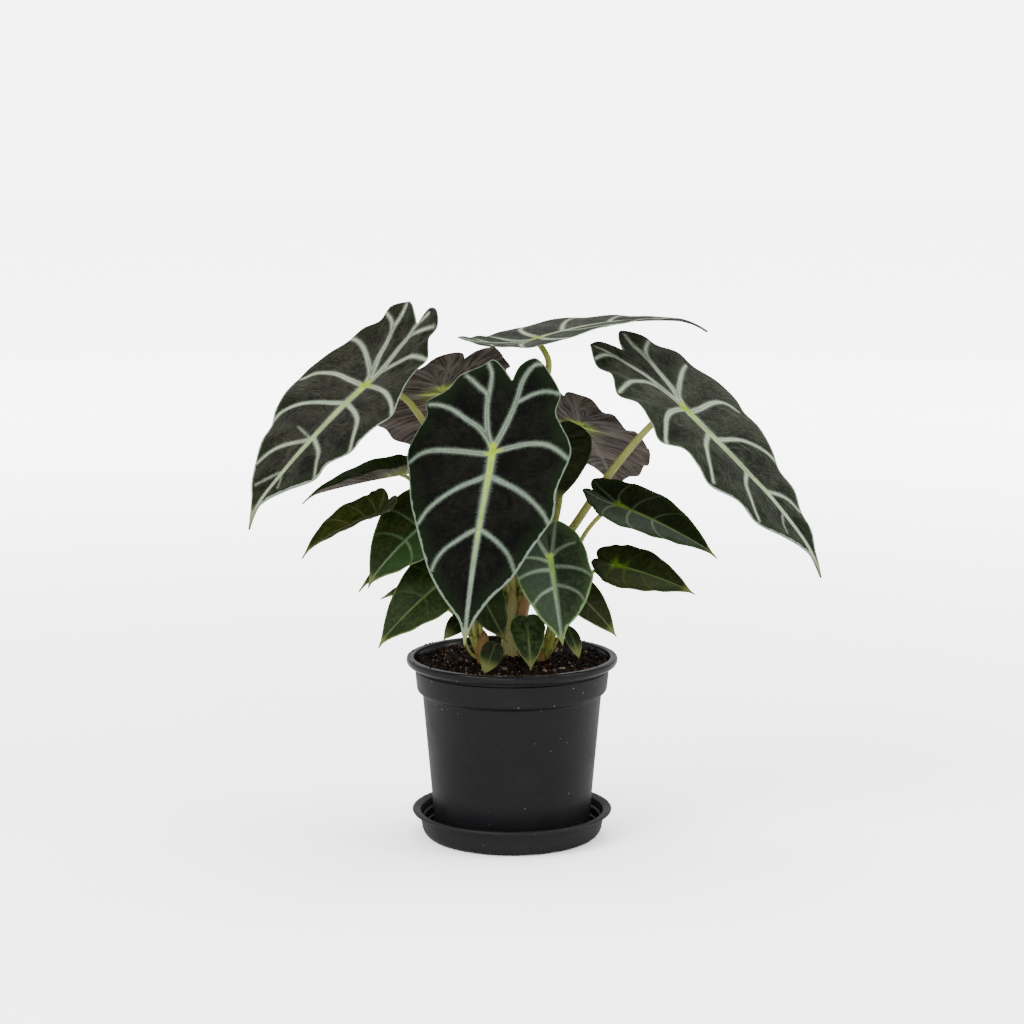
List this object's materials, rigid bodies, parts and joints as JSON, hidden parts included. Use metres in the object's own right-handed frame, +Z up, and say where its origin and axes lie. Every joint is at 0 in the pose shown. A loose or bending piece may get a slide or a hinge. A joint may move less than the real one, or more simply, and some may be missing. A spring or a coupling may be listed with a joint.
{
  "type": "potted black velvet alocasia",
  "caption": "Clumping foliage plant with arrow-shaped, scallop-edged pale-veined blades on arching stalks, in soil in a round tapered nursery pot standing on a saucer.",
  "frame": {"origin": "centre of the saucer's underside, on the surface that it stands on", "axes": "+Z up along the pot's axis; the front of the plant looks along -Y; +X is to the viewer's right"},
  "size_m": [0.3136, 0.1662, 0.3039],
  "materials": {
    "pot_plastic": "satin black moulded plastic with fine dust",
    "soil": "loose dark potting soil with bark chips",
    "mature_blade": "near-black velvet leaf with pale hairy veins",
    "young_blade": "dark green semi-gloss leaf with pale veins",
    "stalk": "smooth yellow-green leaf stalk",
    "crown": "pale stalk bases with dry red-brown papery sheaths"
  },
  "bodies": {
    "root": {"saucer": "pot_plastic", "pot": "pot_plastic", "soil": "soil", "blade_left_large": "mature_blade", "stalk_left_large": "stalk", "blade_front_large": "mature_blade", "stalk_front_large": "stalk", "blade_top_large": "mature_blade", "stalk_top_large": "stalk", "blade_right_large": "mature_blade", "stalk_right_large": "stalk", "blade_back_left": "mature_blade", "stalk_back_left": "stalk", "blade_back_right": "mature_blade", "stalk_back_right": "stalk", "blade_inner_right": "young_blade", "stalk_inner_right": "stalk", "blade_left_narrow": "young_blade", "stalk_left_narrow": "stalk", "blade_left_curled": "young_blade", "stalk_left_curled": "stalk", "blade_left_middle": "young_blade", "stalk_left_middle": "stalk", "blade_left_under": "young_blade", "stalk_left_under": "stalk", "blade_left_low": "young_blade", "stalk_left_low": "stalk", "blade_left_hidden": "young_blade", "stalk_left_hidden": "stalk", "blade_left_tiny": "young_blade", "stalk_left_tiny": "stalk", "blade_front_lower": "young_blade", "stalk_front_lower": "stalk", "blade_front_tiny": "young_blade", "stalk_front_tiny": "stalk", "blade_right_medium": "young_blade", "stalk_right_medium": "stalk", "blade_right_small": "young_blade", "stalk_right_small": "stalk", "blade_front_medium": "young_blade", "stalk_front_medium": "stalk", "blade_right_low": "young_blade", "stalk_right_low": "stalk", "blade_right_tiny": "young_blade", "stalk_right_tiny": "stalk", "blade_front_heart": "young_blade", "stalk_front_heart": "stalk", "crown_main": "crown", "crown_left": "crown", "crown_right": "crown"}
  },
  "joints": []
}
